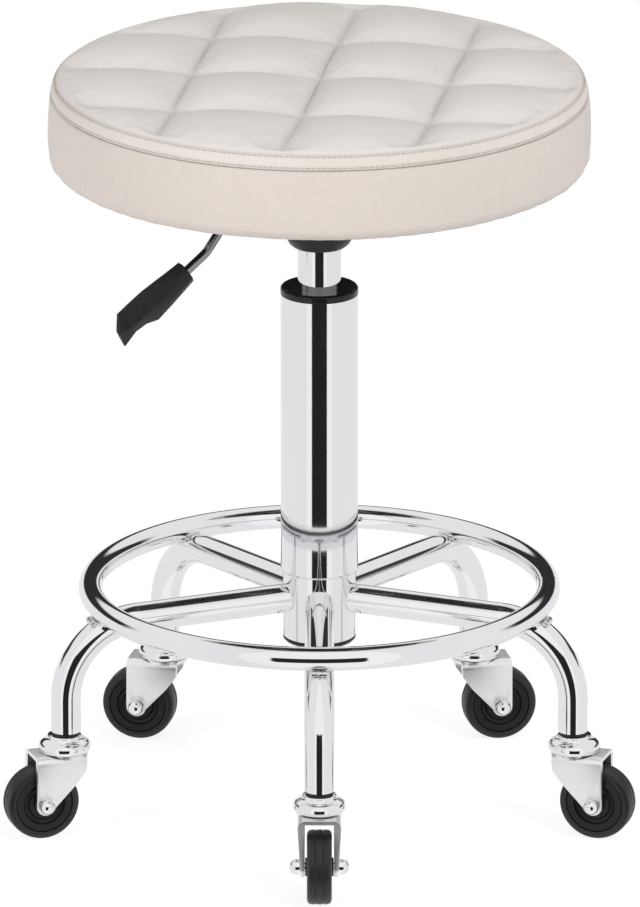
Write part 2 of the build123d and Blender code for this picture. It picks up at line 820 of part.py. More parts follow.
with BuildPart() as stem_sleeve:
    with BuildSketch(Plane.XY.offset(race_top)):
        with Locations((leg_circle_radius, 0)):
            Circle(leg_radius - 0.5)
    extrude(amount=sleeve_flange)
    with BuildSketch(Plane.XY.offset(leg_end_z)):
        with Locations((leg_circle_radius, 0)):
            Circle(leg_radius - leg_wall)
    extrude(amount=sleeve_length)
    with BuildSketch(Plane.XY.offset(race_top)):
        with Locations((leg_circle_radius, 0)):
            Circle(stem_diameter / 2)
    extrude(amount=sleeve_flange + sleeve_length, mode=Mode.SUBTRACT)
save_group(stem_sleeve, "stem_sleeves")
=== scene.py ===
import json
from math import atan2, cos, exp, hypot, pi, radians, sin, sqrt, tau

import bmesh
import bpy
from bpy.props import FloatProperty, FloatVectorProperty, PointerProperty
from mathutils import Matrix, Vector, noise


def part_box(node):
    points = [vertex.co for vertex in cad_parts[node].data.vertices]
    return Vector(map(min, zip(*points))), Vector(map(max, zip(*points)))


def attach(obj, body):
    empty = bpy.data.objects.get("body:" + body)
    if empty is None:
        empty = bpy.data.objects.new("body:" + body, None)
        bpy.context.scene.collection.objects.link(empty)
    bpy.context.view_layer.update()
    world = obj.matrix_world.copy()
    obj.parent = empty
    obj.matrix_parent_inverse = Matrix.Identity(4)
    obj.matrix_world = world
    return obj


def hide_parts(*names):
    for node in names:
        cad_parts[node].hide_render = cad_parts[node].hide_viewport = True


bl_info = {
    "name": "Rolling Stylist Stool",
    "version": (1, 0, 0),
    "blender": (4, 5, 0),
    "location": "View3D > Sidebar > Stool",
    "description": "Builds the looks of a rolling stool round its packed frame",
    "category": "Add Mesh",
}

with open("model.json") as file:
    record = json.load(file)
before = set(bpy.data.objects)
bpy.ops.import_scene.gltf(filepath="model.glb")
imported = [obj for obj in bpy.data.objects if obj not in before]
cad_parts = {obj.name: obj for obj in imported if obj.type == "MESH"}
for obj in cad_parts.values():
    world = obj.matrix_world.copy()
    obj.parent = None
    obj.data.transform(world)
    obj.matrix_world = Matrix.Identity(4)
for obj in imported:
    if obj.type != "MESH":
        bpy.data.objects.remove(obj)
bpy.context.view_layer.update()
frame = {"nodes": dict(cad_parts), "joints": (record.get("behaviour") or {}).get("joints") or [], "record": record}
SIDE_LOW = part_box("side_cover")[0]
BAND_LOW, BAND_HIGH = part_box("edge_band")
SEAT_RADIUS = BAND_HIGH.x
LEGS = range(1, 6)


# ------------------------------------------------------------------ shader maths
class Value:
    """A shader socket that takes part in Python expressions."""

    def __init__(self, graph, socket):
        self.graph = graph
        self.socket = socket

    def maths(self, operation, *others):
        return self.graph.node("ShaderNodeMath", {"operation": operation}, dict(enumerate((self, *others))))

    def __add__(self, other):
        return self.maths("ADD", other)

    def __mul__(self, other):
        return self.maths("MULTIPLY", other)

    def __truediv__(self, other):
        return self.maths("DIVIDE", other)

    def under(self, limit):
        return self.maths("LESS_THAN", limit)

    def smooth(self, low, high, start=0.0, end=1.0):
        """This value mapped from low..high to start..end with soft ends."""
        settings = {"interpolation_type": "SMOOTHSTEP", "clamp": True}
        return self.graph.node("ShaderNodeMapRange", settings, {0: self, 1: low, 2: high, 3: start, 4: end})


class Graph:
    """The node tree of one material or world."""

    def __init__(self, tree):
        self.tree = tree
        tree.nodes.clear()

    def node(self, kind, settings=None, inputs=None, output=0):
        """Adds a node: its settings first, then the values or links of its sockets."""
        made = self.tree.nodes.new(kind)
        for name, value in (settings or {}).items():
            setattr(made, name, value)
        for key, value in (inputs or {}).items():
            if isinstance(value, Value):
                self.tree.links.new(value.socket, made.inputs[key])
            else:
                made.inputs[key].default_value = value
        return Value(self, made.outputs[output]) if len(made.outputs) else None

    def mix(self, factor, first, second):
        """A colour between two colours."""
        return self.node(
            "ShaderNodeMix", {"data_type": "RGBA"}, {0: factor, 6: solid(first), 7: solid(second)}, output=2
        )

    def place(self):
        """Where a point is on the piece, in metres."""
        return self.node("ShaderNodeTexCoord", output=3)

    def stretched(self, vector, scale):
        """A vector scaled along each axis."""
        return self.node("ShaderNodeVectorMath", {"operation": "MULTIPLY"}, {0: vector, 1: scale})

    def clouds(self, vector, scale, detail=3.0, roughness=0.5):
        """Noise from 0 to 1."""
        sockets = {"Vector": vector, "Scale": scale, "Detail": detail, "Roughness": roughness}
        return self.node("ShaderNodeTexNoise", None, sockets)

    def bands(self, vector, scale, distortion=0.0, **settings):
        """Parallel bands, as their factor."""
        sockets = {"Vector": vector, "Scale": scale, "Distortion": distortion}
        return self.node("ShaderNodeTexWave", settings, sockets, output=1)

    def cells(self, vector, scale, feature="F1"):
        """Distance to the nearest cell point."""
        return self.node("ShaderNodeTexVoronoi", {"feature": feature}, {"Vector": vector, "Scale": scale})

    def attribute(self, name):
        """A number stored on the piece's points."""
        return self.node("ShaderNodeAttribute", {"attribute_name": name}, output=2)

    def bump(self, height, distance, strength=1.0):
        """A normal from a height."""
        sockets = {"Height": height, "Distance": distance, "Strength": strength}
        return self.node("ShaderNodeBump", None, sockets)

    def surface(self, colour, **sockets):
        """The closing shader."""
        named = {key.replace("_", " "): value for key, value in sockets.items()}
        shader = self.node("ShaderNodeBsdfPrincipled", None, {"Base Color": solid(colour), **named})
        self.node("ShaderNodeOutputMaterial", None, {0: shader})


def solid(colour):
    """A colour as a socket takes it."""
    return colour if isinstance(colour, Value) else (*colour[:3], 1.0)


def material(name):
    """A new material and its graph."""
    made = bpy.data.materials.new(name)
    made.use_nodes = True
    return made, Graph(made.node_tree)


def shade(colour, factor):
    """A plain colour made darker or lighter."""
    return tuple(min(1.0, part * factor) for part in colour[:3])


# ------------------------------------------------------------------ materials
def chrome(colour, roughness=0.05, name="chrome"):
    """Bright plating with faint handling marks."""
    made, g = material(name)
    at = g.place()
    marks = g.clouds(at, 38.0, 4.0, 0.6)
    haze = g.clouds(g.stretched(at, (1.0, 1.0, 0.35)), 12.0, 3.0)
    tone = g.mix(haze.smooth(0.3, 0.75), shade(colour, 0.96), colour)
    gloss = marks.smooth(0.45, 0.8, roughness, roughness + 0.035)
    lift = g.clouds(at, 900.0, 2.0)
    g.surface(tone, Metallic=1.0, Roughness=gloss, Normal=g.bump(lift, 0.000004, 0.4))
    return made


def weld_metal(colour):
    """Plated weld bead with ripples."""
    made, g = material("plated_weld")
    at = g.place()
    ripples = g.clouds(at, 420.0, 2.0)
    tone = g.mix(ripples.smooth(0.35, 0.7), shade(colour, 0.72), shade(colour, 0.95))
    gloss = ripples.smooth(0.2, 0.8, 0.16, 0.34)
    g.surface(tone, Metallic=1.0, Roughness=gloss, Normal=g.bump(ripples, 0.0006))
    return made


def turned_steel(name, colour, roughness=0.3):
    """Bare or zinc-plated steel with fine machining lines."""
    made, g = material(name)
    at = g.place()
    lines = g.clouds(g.stretched(at, (60.0, 60.0, 1400.0)), 1.0, 2.0)
    stain = g.clouds(at, 60.0, 4.0)
    tone = g.mix(stain.smooth(0.4, 0.75), colour, shade(colour, 0.78))
    g.surface(
        tone,
        Metallic=1.0,
        Roughness=lines.smooth(0.2, 0.8, roughness - 0.08, roughness + 0.12),
        Normal=g.bump(lines, 0.00002),
    )
    return made


def painted_steel():
    """Black powder coat with its orange peel."""
    made, g = material("black_powder_coat")
    at = g.place()
    peel = g.clouds(at, 700.0, 2.0)
    dust = g.clouds(at, 30.0, 5.0)
    tone = g.mix(dust.smooth(0.5, 0.8), (0.018, 0.018, 0.019), (0.035, 0.034, 0.033))
    g.surface(tone, Roughness=dust.smooth(0.3, 0.8, 0.35, 0.5), Normal=g.bump(peel, 0.00008))
    return made


def moulded(name, colour, roughness, grain=0.00003):
    """Moulded plastic: fine spark-erosion grain and faint wear."""
    made, g = material(name)
    at = g.place()
    fine = g.clouds(at, 1600.0, 2.0)
    wear = g.clouds(at, 45.0, 5.0, 0.62)
    tone = g.mix(wear.smooth(0.45, 0.85), colour, shade(colour, 1.7))
    g.surface(
        tone,
        Roughness=wear.smooth(0.3, 0.8, roughness, roughness + 0.09),
        Specular_IOR_Level=0.3,
        Normal=g.bump(fine, grain),
    )
    return made


def rubber(name, colour):
    """Dull rubber, dusty in the hollows."""
    made, g = material(name)
    at = g.place()
    dust = g.clouds(at, 80.0, 5.0, 0.65)
    pores = g.clouds(at, 2200.0, 1.0)
    tone = g.mix(dust.smooth(0.45, 0.8), colour, shade(colour, 2.0))
    g.surface(tone, Roughness=dust.smooth(0.3, 0.8, 0.36, 0.56), Normal=g.bump(pores, 0.00003))
    return made


def plywood():
    """Birch board: flame grain on the face and layers at the rim."""
    made, g = material("plywood")
    at = g.place()
    flame = g.clouds(g.stretched(at, (4.0, 42.0, 4.0)), 1.0, 5.0, 0.6)
    fibre = g.clouds(g.stretched(at, (18.0, 700.0, 18.0)), 1.0, 2.0)
    layers = g.bands(at, 66.0, bands_direction="Z")
    face = g.mix(flame.smooth(0.3, 0.7), (0.62, 0.45, 0.27), (0.74, 0.59, 0.38))
    tone = g.mix(layers.smooth(0.2, 0.8, 0.0, 0.25), face, (0.40, 0.26, 0.14))
    g.surface(tone, Roughness=flame.smooth(0.2, 0.8, 0.55, 0.75), Normal=g.bump(fibre, 0.0001))
    return made


def foam():
    """Cut polyurethane foam."""
    made, g = material("seat_foam")
    at = g.place()
    pores = g.cells(at, 900.0)
    tone = g.mix(pores.smooth(0.0, 0.7), (0.60, 0.54, 0.38), (0.80, 0.75, 0.60))
    g.surface(tone, Roughness=0.95, Normal=g.bump(pores, 0.0006))
    return made


def leather(name, colour, warm):
    """Matt upholstery leather: fine grain, soft tone changes, and painted shade in the seams."""
    made, g = material(name)
    at = g.place()
    grain = g.cells(at, 1100.0)
    crease = g.clouds(at, 260.0, 4.0, 0.6)
    tone_map = g.clouds(at, 7.0, 3.0)
    seam_shade = g.attribute("seam_shade")
    tone = g.mix(tone_map.smooth(0.3, 0.72), colour, warm)
    tone = g.mix(crease.smooth(0.35, 0.8, 0.0, 0.12), tone, shade(warm, 0.82))
    # painted shade: darker where the point's stored seam number is high, along seams and under edges
    tone = g.mix(seam_shade.smooth(0.0, 1.0, 0.0, 0.3), tone, shade(warm, 0.6))
    height = grain * 0.5 + crease * 0.8
    g.surface(
        tone,
        Roughness=crease.smooth(0.3, 0.75, 0.5, 0.62),
        Specular_IOR_Level=0.35,
        Normal=g.bump(height, 0.00012, 0.8),
    )
    return made


def thread(colour):
    """Twisted sewing thread."""
    made, g = material("sewing_thread")
    at = g.place()
    ply = g.bands(at, 900.0, 2.0, bands_direction="DIAGONAL")
    fuzz = g.clouds(at, 500.0, 3.0)
    tone = g.mix(fuzz.smooth(0.3, 0.75), colour, shade(colour, 0.8))
    g.surface(tone, Roughness=fuzz.smooth(0.2, 0.8, 0.6, 0.8), Normal=g.bump(ply, 0.00008))
    return made


def cloth():
    """Black non-woven underside cloth."""
    made, g = material("underside_cloth")
    at = g.place()
    web = g.cells(at, 620.0, "DISTANCE_TO_EDGE")
    fuzz = g.clouds(at, 400.0, 4.0)
    tone = g.mix(web.smooth(0.0, 0.25), (0.035, 0.035, 0.036), (0.012, 0.012, 0.012))
    g.surface(tone, Roughness=fuzz.smooth(0.3, 0.7, 0.82, 0.95), Normal=g.bump(web, 0.0002))
    return made


# ------------------------------------------------------------------ mesh helpers
def piece(name, points, faces, look, body, seam_shades=None):
    """Makes a smooth mesh that rides on a body; its optional per-point numbers paint shade into the seams."""
    mesh = bpy.data.meshes.new(name)
    mesh.from_pydata([tuple(p) for p in points], [], faces)
    mesh.validate()
    mesh.polygons.foreach_set("use_smooth", [True] * len(mesh.polygons))
    if seam_shades is not None:
        # stores each point's painted seam shade for the leather to read
        mesh.attributes.new("seam_shade", "FLOAT", "POINT").data.foreach_set("value", seam_shades)
    mesh.materials.append(look)
    made = bpy.data.objects.new(name, mesh)
    bpy.context.scene.collection.objects.link(made)
    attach(made, body)
    return made


def lathe(profile, segments):
    """Points and faces of a closed profile of (radius, height) turned about +Z."""
    points, faces = [], []
    count = len(profile)
    for step in range(segments):
        angle = tau * step / segments
        points += [(r * cos(angle), r * sin(angle), z) for r, z in profile]
    for step in range(segments):
        here, there = step * count, (step + 1) % segments * count
        for i in range(count):
            j = (i + 1) % count
            faces.append((here + i, there + i, there + j, here + j))
    return points, faces


def smoothstep(low, high, value):
    share = min(1.0, max(0.0, (value - low) / (high - low)))
    return share * share * (3 - 2 * share)


def rounded(outline, times=3):
    """A closed outline with its corners cut away again and again until it is smooth."""
    for _ in range(times):
        following = outline[1:] + outline[:1]
        outline = [
            (a[0] * (1 - cut) + b[0] * cut, a[1] * (1 - cut) + b[1] * cut)
            for a, b in zip(outline, following)
            for cut in (0.25, 0.75)
        ]
    return outline


def eased(node, name, body, width):
    """A new piece in the shape of a frame node, with its sharp edges rolled over."""
    form = bmesh.new()
    form.from_mesh(frame["nodes"][node].data)
    bmesh.ops.remove_doubles(form, verts=form.verts, dist=0.000002)
    bmesh.ops.dissolve_limit(form, angle_limit=radians(2.5), verts=form.verts, edges=form.edges)
    sharp = [e for e in form.edges if len(e.link_faces) == 2 and e.calc_face_angle() > radians(38)]
    roll = {"offset": width, "segments": 3, "profile": 0.5}
    bmesh.ops.bevel(form, geom=sharp, affect="EDGES", clamp_overlap=True, **roll)
    bmesh.ops.triangulate(form, faces=[f for f in form.faces if len(f.verts) > 4])
    form.verts.index_update()
    points = [v.co.copy() for v in form.verts]
    faces = [tuple(v.index for v in f.verts) for f in form.faces]
    form.free()
    made = piece(name, points, faces, frame["nodes"][node].data.materials[0], body)
    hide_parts(node)
    return made


def stitch(start, end, out, radius):
    """Points and faces of one stitch: a short thread that dips at both ends."""
    rings, sides = 7, 7
    along = end - start
    side = along.cross(out).normalized()
    points, faces = [], []
    for i in range(rings):
        share = i / (rings - 1)
        rise = sin(pi * share) ** 0.6
        thick = radius * (0.45 + 0.55 * rise)
        centre = start + along * share + out * (radius * (1.1 * rise - 0.6))
        for k in range(sides):
            turn = tau * k / sides
            points.append(centre + (side * cos(turn) + out * sin(turn)) * thick)
    for i in range(rings - 1):
        for k in range(sides):
            a, b = i * sides + k, i * sides + (k + 1) % sides
            faces.append((a, b, b + sides, a + sides))
    faces.append(tuple(range(sides - 1, -1, -1)))
    faces.append(tuple(range((rings - 1) * sides, rings * sides)))
    return points, faces


def gather(parts):
    """Joins lists of points and faces into one."""
    points, faces = [], []
    for more, sides in parts:
        base = len(points)
        points += more
        faces += [tuple(base + i for i in side) for side in sides]
    return points, faces


# ------------------------------------------------------------------ settings
def tint(name, description, colour):
    """A colour that the panel shows."""
    return FloatVectorProperty(name=name, description=description, subtype="COLOR", default=colour)


def measure(name, description, value, unit="LENGTH"):
    """A number that the panel shows, in metres unless the unit says otherwise."""
    return FloatProperty(name=name, description=description, unit=unit, default=value)


class StoolSeatSettings(bpy.types.PropertyGroup):
    """Sizes and colours of the cushion."""

    top_colour: tint("Top colour", "Leather of the quilted top", (0.765, 0.722, 0.688))
    side_colour: tint("Side colour", "Leather of the side panel", (0.675, 0.61, 0.56))
    pillow_pitch: measure("Pillow pitch", "Distance between quilting seams", 0.083)
    pillow_rise: measure("Pillow rise", "Height of a pillow over its seams", 0.0112)
    pillow_turn: measure("Quilting turn", "Turn of the quilting on the seat", radians(-8.5), "ROTATION")
    fullness: measure("Fullness", "How much larger than its frame the leather is cut", 0.004, "NONE")
    pressure: measure("Pressure", "How hard the foam pushes the leather out", 3.0, "NONE")
    stitch_pitch: measure("Stitch pitch", "Distance from stitch to stitch", 0.0034)
    side_bulge: measure("Side bulge", "How far the side panel swells", 0.0018)


class StoolMetalSettings(bpy.types.PropertyGroup):
    """Colours of the metal and plastic."""

    chrome_colour: tint("Chrome", "Colour of the plating", (0.86, 0.865, 0.875))
    plastic_colour: tint("Plastic", "Colour of the black mouldings", (0.012, 0.012, 0.013))
    wheel_colour: tint("Wheel", "Colour of the wheels", (0.007, 0.007, 0.008))


class StoolStageSettings(bpy.types.PropertyGroup):
    """Light and camera."""

    camera_pitch: measure("Camera pitch", "How far the camera looks down", radians(17.8), "ROTATION")
    camera_distance: measure("Camera distance", "Distance to the stool", 11.0)
    view_height: measure("View height", "Height of the picture's frame at the stool", 0.58516)
    sky_strength: measure("Sky strength", "Even light from all round", 0.6, "NONE")
    key_power: measure("Key power", "Power of the main lamp", 35.0, "POWER")


# ------------------------------------------------------------------ operators
class STOOL_OT_metalwork(bpy.types.Operator):
    """Give every carried-over frame node its finish"""

    bl_idname = "stool.metalwork"
    bl_label = "Metal and plastic"

    def execute(self, context):
        look = context.scene.stool_metal
        plated = chrome(look.chrome_colour)
        finishes = {
            "chrome": plated,
            "bearing_steel": turned_steel("bearing_steel", (0.58, 0.57, 0.56), 0.22),
            "zinc_steel": turned_steel("zinc_plate", (0.62, 0.62, 0.58), 0.34),
            "black_steel": painted_steel(),
            "black_gloss": moulded("gloss_moulding", look.plastic_colour, 0.12, 0.00001),
            "black_plastic": moulded("satin_moulding", look.plastic_colour, 0.3),
            "seal_rubber": rubber("seal_rubber", (0.02, 0.02, 0.02)),
            "wheel_plastic": moulded("wheel_moulding", look.wheel_colour, 0.3),
            "wheel_tread": rubber("tread_rubber", look.wheel_colour),
            "plywood": plywood(),
            "foam": foam(),
            "cover_top": leather("cover_top_plain", (0.71, 0.685, 0.655), (0.69, 0.65, 0.60)),
            "cover_side": leather("cover_side_plain", (0.70, 0.64, 0.585), (0.68, 0.60, 0.53)),
            "underside_cloth": cloth(),
        }
        satin = chrome(shade(look.chrome_colour, 1.06), 0.36, "satin_plating")
        special = {
            "ring_welds": weld_metal(look.chrome_colour),
            **{f"fork_{leg}": satin for leg in LEGS},
            "lever_rod": chrome((0.28, 0.28, 0.285), 0.08, "black_plating"),
            "column_bush": moulded("collar_moulding", look.plastic_colour, 0.07, 0.000005),
        }
        slots = {part["node"]: part["material_slot"] for part in frame["record"]["subparts"]}
        for name, node in frame["nodes"].items():
            node.data.materials.clear()
            node.data.materials.append(special.get(name) or finishes[slots[name]])
        return {"FINISHED"}


class STOOL_OT_casters(bpy.types.Operator):
    """Press the caster forks with rolled edges and turn their treads and domed races"""

    bl_idname = "stool.casters"
    bl_label = "Casters"

    def execute(self, context):
        for leg in LEGS:
            fork = eased(f"fork_{leg}", f"pressed_fork_{leg}", f"caster_{leg}", 0.0009)
        self.treads()
        self.races()
        return {"FINISHED"}

    @staticmethod
    def treads():
        """Five treads with round shoulders and two grooves, each turned about its own axle."""
        low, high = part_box("tread_1")
        radius, face = (high.z - low.z) / 2, (high.x - low.x) / 2
        low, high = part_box("wheel_core_1")
        bore = (high.z - low.z) / 2
        half = [
            (bore, 0.0004 - face),
            (bore, -face),
            (bore + 0.0004, -face),
            (bore + 0.0022, -face),
            (radius - 0.0004, 0.0010 - face),
            (radius, 0.0040 - face),
            (radius, -0.0031),
            (radius - 0.0007, -0.0026),
            (radius, -0.0021),
        ]
        points, faces = lathe(rounded(half + [(r, -z) for r, z in reversed(half)]), 128)
        axes = {joint["name"]: Vector(joint["axis"]) for joint in frame["joints"]}
        for leg in LEGS:
            low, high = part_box(f"tread_{leg}")
            turn = Vector((0, 0, 1)).rotation_difference(axes[f"wheel_{leg}_spin"])
            there = [turn @ Vector(p) + (low + high) / 2 for p in points]
            look = frame["nodes"][f"tread_{leg}"].data.materials[0]
            tread = piece(f"grooved_tread_{leg}", there, faces, look, f"wheel_{leg}")
            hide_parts(f"tread_{leg}")

    @staticmethod
    def races():
        """The domed race over each fork, all five as one piece."""
        low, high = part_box("race_cups")
        base, top = low.z, high.z
        outline = [
            (0.0150, base + 0.0006),
            (0.0160, base - 0.0002),
            (0.0168, base + 0.0012),
            (0.0170, base + 0.0034),
            (0.0162, base + 0.0056),
            (0.0142, base + 0.0070),
            (0.0124, base + 0.0078),
            (0.0114, base + 0.0090),
            (0.0111, top - 0.0006),
            (0.0104, top),
            (0.0060, top),
            (0.0060, base + 0.0052),
            (0.0146, base + 0.0050),
        ]
        points, faces = lathe(rounded(outline), 96)
        stem_radius = 0.0055
        circle = abs(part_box("caster_stems")[0].y) - stem_radius
        parts = []
        for leg in LEGS:
            turn = radians(-90 + 72 * (leg - 1))
            shift = Vector((circle * cos(turn), circle * sin(turn), 0))
            parts.append(([Vector(p) + shift for p in points], faces))
        points, faces = gather(parts)
        races = piece("domed_races", points, faces, frame["nodes"]["race_cups"].data.materials[0], "base")
        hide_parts("race_cups")


class STOOL_OT_lever_grip(bpy.types.Operator):
    """Mould the lever's grip with its round neck and ridged fishtail end"""

    bl_idname = "stool.lever_grip"
    bl_label = "Lever grip"

    def execute(self, context):
        # each station: the top, ridge and bottom as (reach, height) from the far low tip,
        # then the half thickness at the edge and at the ridge, and how round the faces are
        stations = (
            ((-0.0395, 0.0508), (-0.0436, 0.0448), (-0.0477, 0.0389), 0.0030, 0.0066, 0.86),
            ((-0.0350, 0.0480), (-0.0388, 0.0408), (-0.0430, 0.0342), 0.0027, 0.0066, 0.84),
            ((-0.0264, 0.0433), (-0.0305, 0.0338), (-0.0355, 0.0265), 0.0020, 0.0064, 0.74),
            ((-0.0132, 0.0358), (-0.0163, 0.0236), (-0.0237, 0.0153), 0.0015, 0.0062, 0.5),
            ((-0.0085, 0.0325), (-0.0105, 0.0192), (-0.0152, 0.0136), 0.0014, 0.0058, 0.46),
            ((-0.0025, 0.0281), (-0.0042, 0.0142), (-0.0078, 0.0092), 0.0013, 0.0050, 0.46),
            ((0.0051, 0.0223), (0.0048, 0.0098), (0.0000, 0.0002), 0.0012, 0.0030, 0.46),
        )
        low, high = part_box("lever_paddle")
        angle = atan2(low.y + high.y, low.x + high.x)
        along = Vector((cos(angle), sin(angle), 0))
        side = Vector((-sin(angle), cos(angle), 0))
        up = Vector((0, 0, 1))
        corner_past_tip = 0.0074
        tip = along * (hypot(low.x, low.y) - corner_past_tip) + up * low.z
        between = 6
        sections = [
            self.section(here, there, step / between)
            for here, there in zip(stations, stations[1:])
            for step in range(between)
        ]
        sections.append(self.section(stations[-1], stations[-1], 0.0))
        points = []
        for ring in sections:
            points += [tip + along * reach + up * rise + side * depth for reach, rise, depth in ring]
        count = len(sections[0])
        faces = []
        for here in range(0, (len(sections) - 1) * count, count):
            there = here + count
            for k in range(count):
                n = (k + 1) % count
                faces.append((here + k, here + n, there + n, there + k))
        faces.append(tuple(range(count - 1, -1, -1)))
        faces.append(tuple(range((len(sections) - 1) * count, len(sections) * count)))
        look = moulded("grip_moulding", (0.016, 0.016, 0.017), 0.34, 0.00006)
        grip = piece("lever_grip", points, faces, look, "lever")
        ease = grip.modifiers.new("ease", "BEVEL")
        ease.width = 0.0007
        ease.segments = 3
        ease.angle_limit = radians(28)
        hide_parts("lever_paddle")
        return {"FINISHED"}

    @staticmethod
    def section(here, there, share):
        """One outline round the grip between two stations."""
        soft = smoothstep(0.0, 1.0, share)
        top, ridge, low = (Vector(a).lerp(Vector(b), share) for a, b in zip(here[:3], there[:3]))
        edge, crest, plump = (a + (b - a) * soft for a, b in zip(here[3:], there[3:]))
        swell = edge + (crest - edge) * plump
        upper = (*top.lerp(ridge, 0.5), swell)
        under = (*low.lerp(ridge, 0.5), swell)
        front = [(*top, edge), upper, (*ridge, crest), under, (*low, edge)]
        return front + [(reach, rise, -depth) for reach, rise, depth in reversed(front)]


def inflate(points, faces, held, growth, pressure):
    """Blows a sheet up as cloth, with the held points pinned, and returns where its points end up."""
    scene = bpy.context.scene
    mesh = bpy.data.meshes.new("sheet")
    mesh.from_pydata([tuple(p) for p in points], [], faces)
    sheet = bpy.data.objects.new("sheet", mesh)
    scene.collection.objects.link(sheet)
    pins = sheet.vertex_groups.new(name="pins")
    for index, weight in enumerate(held):
        if weight > 0:
            pins.add([index], weight, "REPLACE")
    frames = 20
    cloth_step = sheet.modifiers.new("cloth", "CLOTH")
    cloth_step.point_cache.frame_start = 1
    cloth_step.point_cache.frame_end = frames
    stuff = cloth_step.settings
    stuff.quality = 6
    stuff.mass = 0.25
    stuff.air_damping = 2.0
    stuff.tension_stiffness = 22.0
    stuff.compression_stiffness = 22.0
    stuff.shear_stiffness = 12.0
    stuff.bending_stiffness = 9.0
    stuff.vertex_group_mass = "pins"
    stuff.shrink_min = -growth
    stuff.use_pressure = True
    stuff.uniform_pressure_force = pressure
    stuff.effector_weights.gravity = 0.0
    for number in range(1, frames + 1):
        scene.frame_set(number)
    blown = sheet.evaluated_get(bpy.context.evaluated_depsgraph_get())
    moved = [v.co.copy() for v in blown.data.vertices]
    scene.frame_set(1)
    bpy.data.objects.remove(sheet)
    return [start + held_back(end - start, start) for start, end in zip(points, moved)]


def held_back(step, start):
    """A cloth move kept short, and shorter still toward the rim."""
    longest = 0.0045
    near_rim = smoothstep(SEAT_RADIUS - 0.045, SEAT_RADIUS - 0.008, hypot(start.x, start.y))
    reach = longest * (1 - 0.8 * near_rim)
    return step * min(1.0, reach / max(step.length, 0.000001))


def quilt(settings):
    """The top panel's rim, and a function of (x, y) that gives its height and its painted seam shade."""
    turn = settings.pillow_turn
    pitch = settings.pillow_pitch
    rise = settings.pillow_rise
    rim = SEAT_RADIUS - 0.0060
    rim_z = BAND_HIGH.z + 0.0004
    crown = 0.0022  # the middle over the rim
    sunk = 0.0035  # the seams under the crown
    seam_shade_reach = 0.0042  # how far from a seam its shade goes

    def height(x, y):
        r = hypot(x, y)
        u = x * cos(turn) + y * sin(turn)
        v = -x * sin(turn) + y * cos(turn)
        wander = 0.0016 * noise.noise(Vector((u * 9, v * 9, 3.0)))
        shape, near = 1.0, 1.0
        for here, other in ((u, v), (v, u)):
            here += wander
            seam = round(here / pitch)
            gap = abs(here - seam * pitch) if abs(seam) < 2 else pitch
            share = min(1.0, gap / (pitch / 2))
            shape *= (1 - (1 - share) ** 2.1) ** 0.62
            fade = 1 - smoothstep(rim - 0.03, rim, r)
            pucker = noise.noise(Vector((other * 210, here * 26, 7.0 * seam)))
            shape -= 0.055 * pucker * fade * exp(-gap / 0.006) * min(1.0, gap / 0.002)
            near = min(near, gap / seam_shade_reach)
        edge = min(1.0, max(0.0, (rim - r) / 0.055))
        shoulder = (1 - (1 - edge) ** 2.4) ** 0.6
        seam_fade = smoothstep(0.0, 0.009, rim - r)
        pillows = shape * seam_fade + (1 - seam_fade)
        dome = crown * (1 - (r / rim) ** 2)
        z = rim_z + dome + shoulder * (rise * pillows - sunk)
        # painted shade: darker near each seam and at the rim of the panel
        seam_shade = max(0.0, 1 - near) * seam_fade
        seam_shade = max(seam_shade, 0.6 * (1 - smoothstep(0.0, 0.0035, rim - r)))
        return z, seam_shade

    return rim, height


def disc(radius, rings, around):
    """Points (x, y) in rings about a middle point, and the faces between them."""
    points = [(0.0, 0.0)]
    for i in range(1, rings + 1):
        r = radius * i / rings
        points += [(r * cos(tau * k / around), r * sin(tau * k / around)) for k in range(around)]
    faces = [(0, 1 + k, 1 + (k + 1) % around) for k in range(around)]
    for inner in range(1, 1 + (rings - 1) * around, around):
        outer = inner + around
        for k in range(around):
            n = (k + 1) % around
            faces.append((inner + k, outer + k, outer + n, inner + n))
    return points, faces


class STOOL_OT_top_panel(bpy.types.Operator):
    """Sew the quilted top panel and the foam under it"""

    bl_idname = "stool.top_panel"
    bl_label = "Quilted top"

    def execute(self, context):
        settings = context.scene.stool_seat
        rim, height = quilt(settings)
        rings, around = 88, 360
        flat, faces = disc(rim, rings, around)
        shaped = [height(x, y) for x, y in flat]
        points = [Vector((x, y, z)) for (x, y), (z, _) in zip(flat, shaped)]
        # each point's painted seam shade, which also picks the points that the cloth pins
        seam_shades = [seam_shade for _, seam_shade in shaped]
        sewn_rim = rim - 0.0025
        held = [smoothstep(0.6, 0.8, seam_shade) for seam_shade in seam_shades]
        held = [1.0 if hypot(p.x, p.y) > sewn_rim else pin for p, pin in zip(points, held)]
        points = inflate(points, faces, held, settings.fullness, settings.pressure)

        thickness, foam_gap, board_gap = 0.0016, 0.0006, 0.0013
        base = len(points)
        lower = [tuple(base + i for i in reversed(face)) for face in faces]
        edge = []
        for here in range(base - around, base):
            there = here + 1 if here + 1 < base else base - around
            edge.append((here, base + here, base + there, there))
        closed = faces + lower + edge
        look = leather("top_leather", settings.top_colour, shade(settings.top_colour, 0.97))
        under = [p - Vector((0, 0, thickness)) for p in points]
        panel = piece("quilted_top", points + under, closed, look, "seat", seam_shades + seam_shades)
        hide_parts("top_cover")

        board_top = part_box("seat_board")[1].z
        top = [p - Vector((0, 0, thickness + foam_gap)) for p in points]
        bottom = [Vector((p.x, p.y, board_top + board_gap)) for p in points]
        core = piece("foam_core", top + bottom, closed, foam(), "seat", seam_shades + seam_shades)
        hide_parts("seat_foam")
        return {"FINISHED"}


